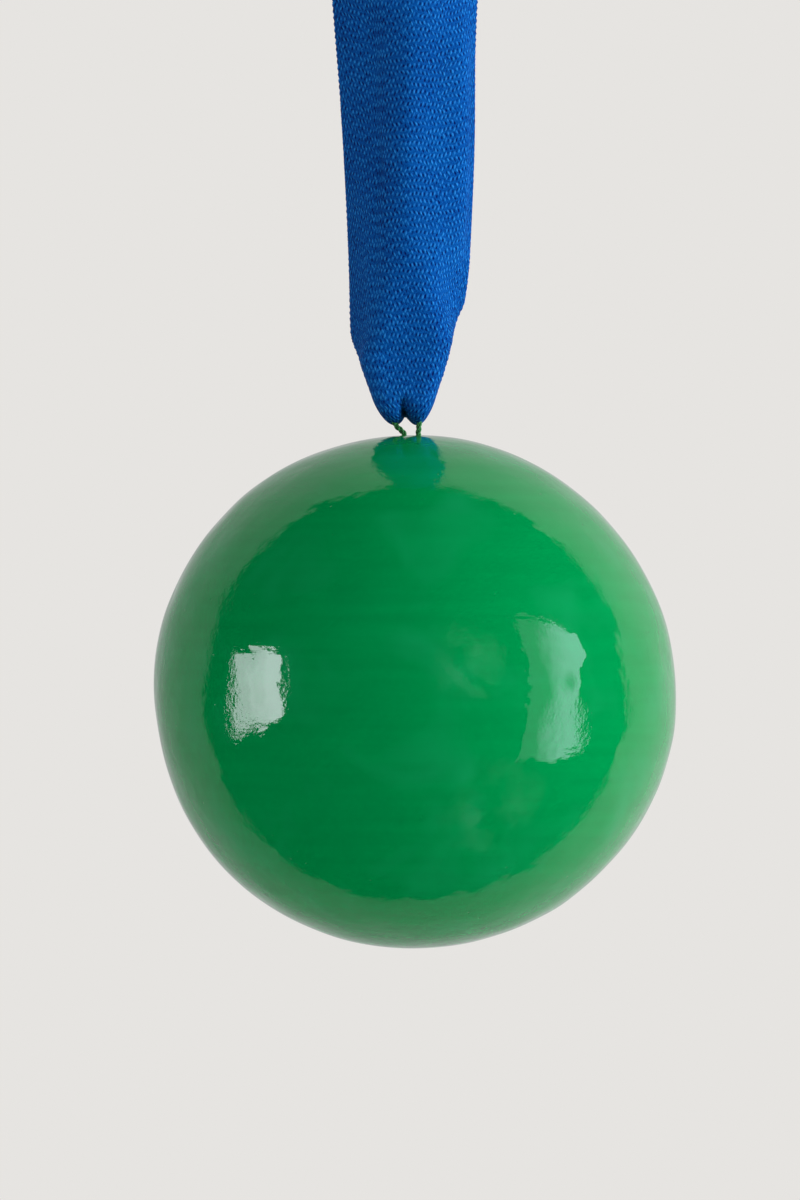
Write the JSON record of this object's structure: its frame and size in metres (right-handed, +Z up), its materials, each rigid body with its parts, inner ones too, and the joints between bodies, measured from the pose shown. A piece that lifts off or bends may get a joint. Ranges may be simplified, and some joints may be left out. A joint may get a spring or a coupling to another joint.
{
  "type": "christmas bauble",
  "caption": "Hollow round bauble of lacquered papier-mache, hung by a thin cord from a gathered loop of wide cotton tape.",
  "frame": {"origin": "The hanging point: the top of the room inside the tape's upper fold, on the tape's middle line.", "axes": "+Z up along the hanging tape, +X across the tape to the right as seen from the front, the front faces -Y."},
  "size_m": [0.08, 0.08, 0.1611],
  "materials": {
    "tape_cotton": "woven cotton tape, matte",
    "sewing_thread": "cotton thread, matte",
    "cord_cotton": "twisted cotton cord, matte",
    "toggle_wood": "bare beech",
    "lacquered_shell": "painted papier-mache under clear gloss lacquer",
    "band_paper": "bare pasted paper"
  },
  "bodies": {
    "ribbon": {"ribbon_loop": "tape_cotton", "ribbon_seam_thread": "sewing_thread"},
    "loop": {"cord_loop": "cord_cotton"},
    "toggle": {"cord_tails": "cord_cotton", "toggle_stick": "toggle_wood"},
    "ball": {"upper_half_shell": "lacquered_shell", "lower_half_shell": "lacquered_shell", "joint_band": "band_paper"}
  },
  "joints": [
    {"name": "cord_rock", "type": "hinge", "parent": "ribbon", "child": "loop", "pos_m": [0, 0, -0.07805], "axis": [0, 1, 0], "range_deg": [-20, 20]},
    {"name": "ball_swing", "type": "hinge", "parent": "loop", "child": "toggle", "pos_m": [0.0008, 0, -0.0818], "axis": [1, 0, 0], "range_deg": [-14, 14]},
    {"name": "ball_spin", "type": "hinge", "parent": "toggle", "child": "ball", "pos_m": [0.0008, 0, -0.0818], "axis": [0, 0, 1], "continuous": true}
  ]
}
